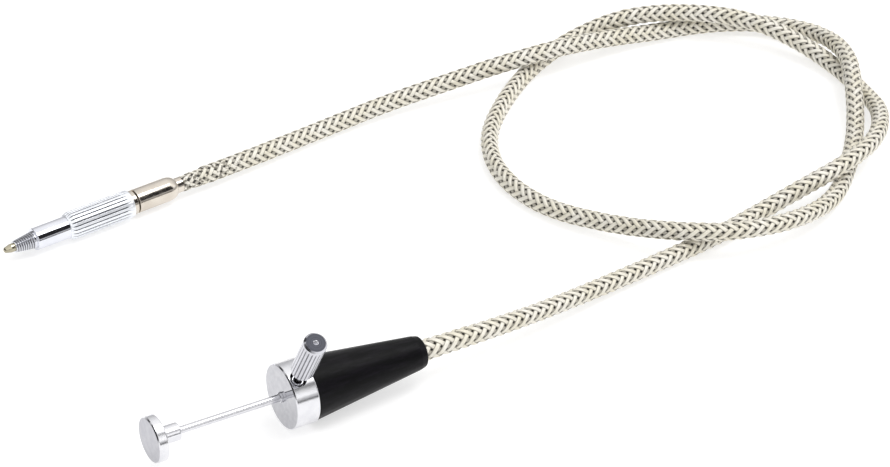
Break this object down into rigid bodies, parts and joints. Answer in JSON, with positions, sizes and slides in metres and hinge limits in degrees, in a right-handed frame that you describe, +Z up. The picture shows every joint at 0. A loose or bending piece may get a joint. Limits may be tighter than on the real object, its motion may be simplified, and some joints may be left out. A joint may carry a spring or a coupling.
{
  "type": "cable shutter release",
  "caption": "Locking cable shutter release: finger button and rod in a round handle with a thumbscrew, a braided cable in a loop, and a conical screw tip with a push pin.",
  "frame": {"origin": "bottom centre of the handle's box (finger button, head, thumbscrew and sleeve, without the cable and the pieces on it), on the surface that the release lies on", "axes": "+X along the handle from the finger button to the cable, +Z up"},
  "size_m": [0.2105, 0.1123, 0.0283],
  "materials": {
    "aluminium_polished": "polished turned face, bright rim",
    "aluminium_turned": "satin turned face, bright rim",
    "aluminium_knurled": "axial knurl, bright",
    "steel_rod": "smooth ground rod",
    "spring_steel": "plain spring wire",
    "brass": "plain turned brass",
    "brass_pin": "polished brass",
    "nickel": "warm champagne nickel plate",
    "chrome_knurled": "bright plate on a straight knurl",
    "chrome_bright": "bright plate",
    "black_sleeve": "satin black with faint streaks",
    "braid_cream": "flat cream and silver strands, braided",
    "liner_dark": "dark tube seen through the braid's gaps"
  },
  "bodies": {
    "handle": {"head_flange": "aluminium_polished", "guide_bush": "steel_rod", "grip_sleeve": "black_sleeve", "spring_tube": "brass", "return_spring": "spring_steel", "cable_anchor": "brass", "braid_crimp": "nickel", "cable_braid": "braid_cream", "cable_liner": "liner_dark", "conduit": "spring_steel", "inner_wire": "spring_steel", "ferrule": "nickel", "swivel_spindle": "brass", "spindle_clip": "spring_steel"},
    "plunger": {"finger_button": "aluminium_turned", "plunger_rod": "steel_rod", "stop_collar": "brass", "wire_socket": "brass"},
    "pin": {"push_pin": "brass_pin", "pin_socket": "brass"},
    "pad": {"lock_pad": "brass"},
    "screw": {"lock_screw": "aluminium_knurled"},
    "tip": {"swivel_collar": "nickel", "knurled_ring": "chrome_knurled", "threaded_nipple": "chrome_bright"}
  },
  "joints": [
    {"name": "plunger_slide", "type": "slide", "parent": "handle", "child": "plunger", "axis": [1, 0, 0], "range_m": [0, 0.015], "stiffness_N_per_m": 120, "springref_m": -0.01, "deforming": ["return_spring"]},
    {"name": "pin_slide", "type": "slide", "parent": "handle", "child": "pin", "axis": [-0.9948, -0.1018, 0], "range_m": [0, 0.015]},
    {"name": "lock_travel", "type": "slide", "parent": "handle", "child": "pad", "axis": [0, 0.5, -0.866], "range_m": [-0.0009, 0.00038]},
    {"name": "lock_turn", "type": "hinge", "parent": "pad", "child": "screw", "pos_m": [0.0008, 0.00293, 0.00715], "axis": [0, 0.5, -0.866], "range_deg": [-720, 300]},
    {"name": "tip_swivel", "type": "hinge", "parent": "handle", "child": "tip", "pos_m": [-0.0009, 0.08786, 0.00315], "axis": [-0.9948, -0.1018, 0], "continuous": true}
  ],
  "couplings": [
    {"joint": "pin_slide", "follows": "plunger_slide", "ratio": 1},
    {"joint": "lock_turn", "follows": "lock_travel", "rad_per_m": 13963}
  ]
}
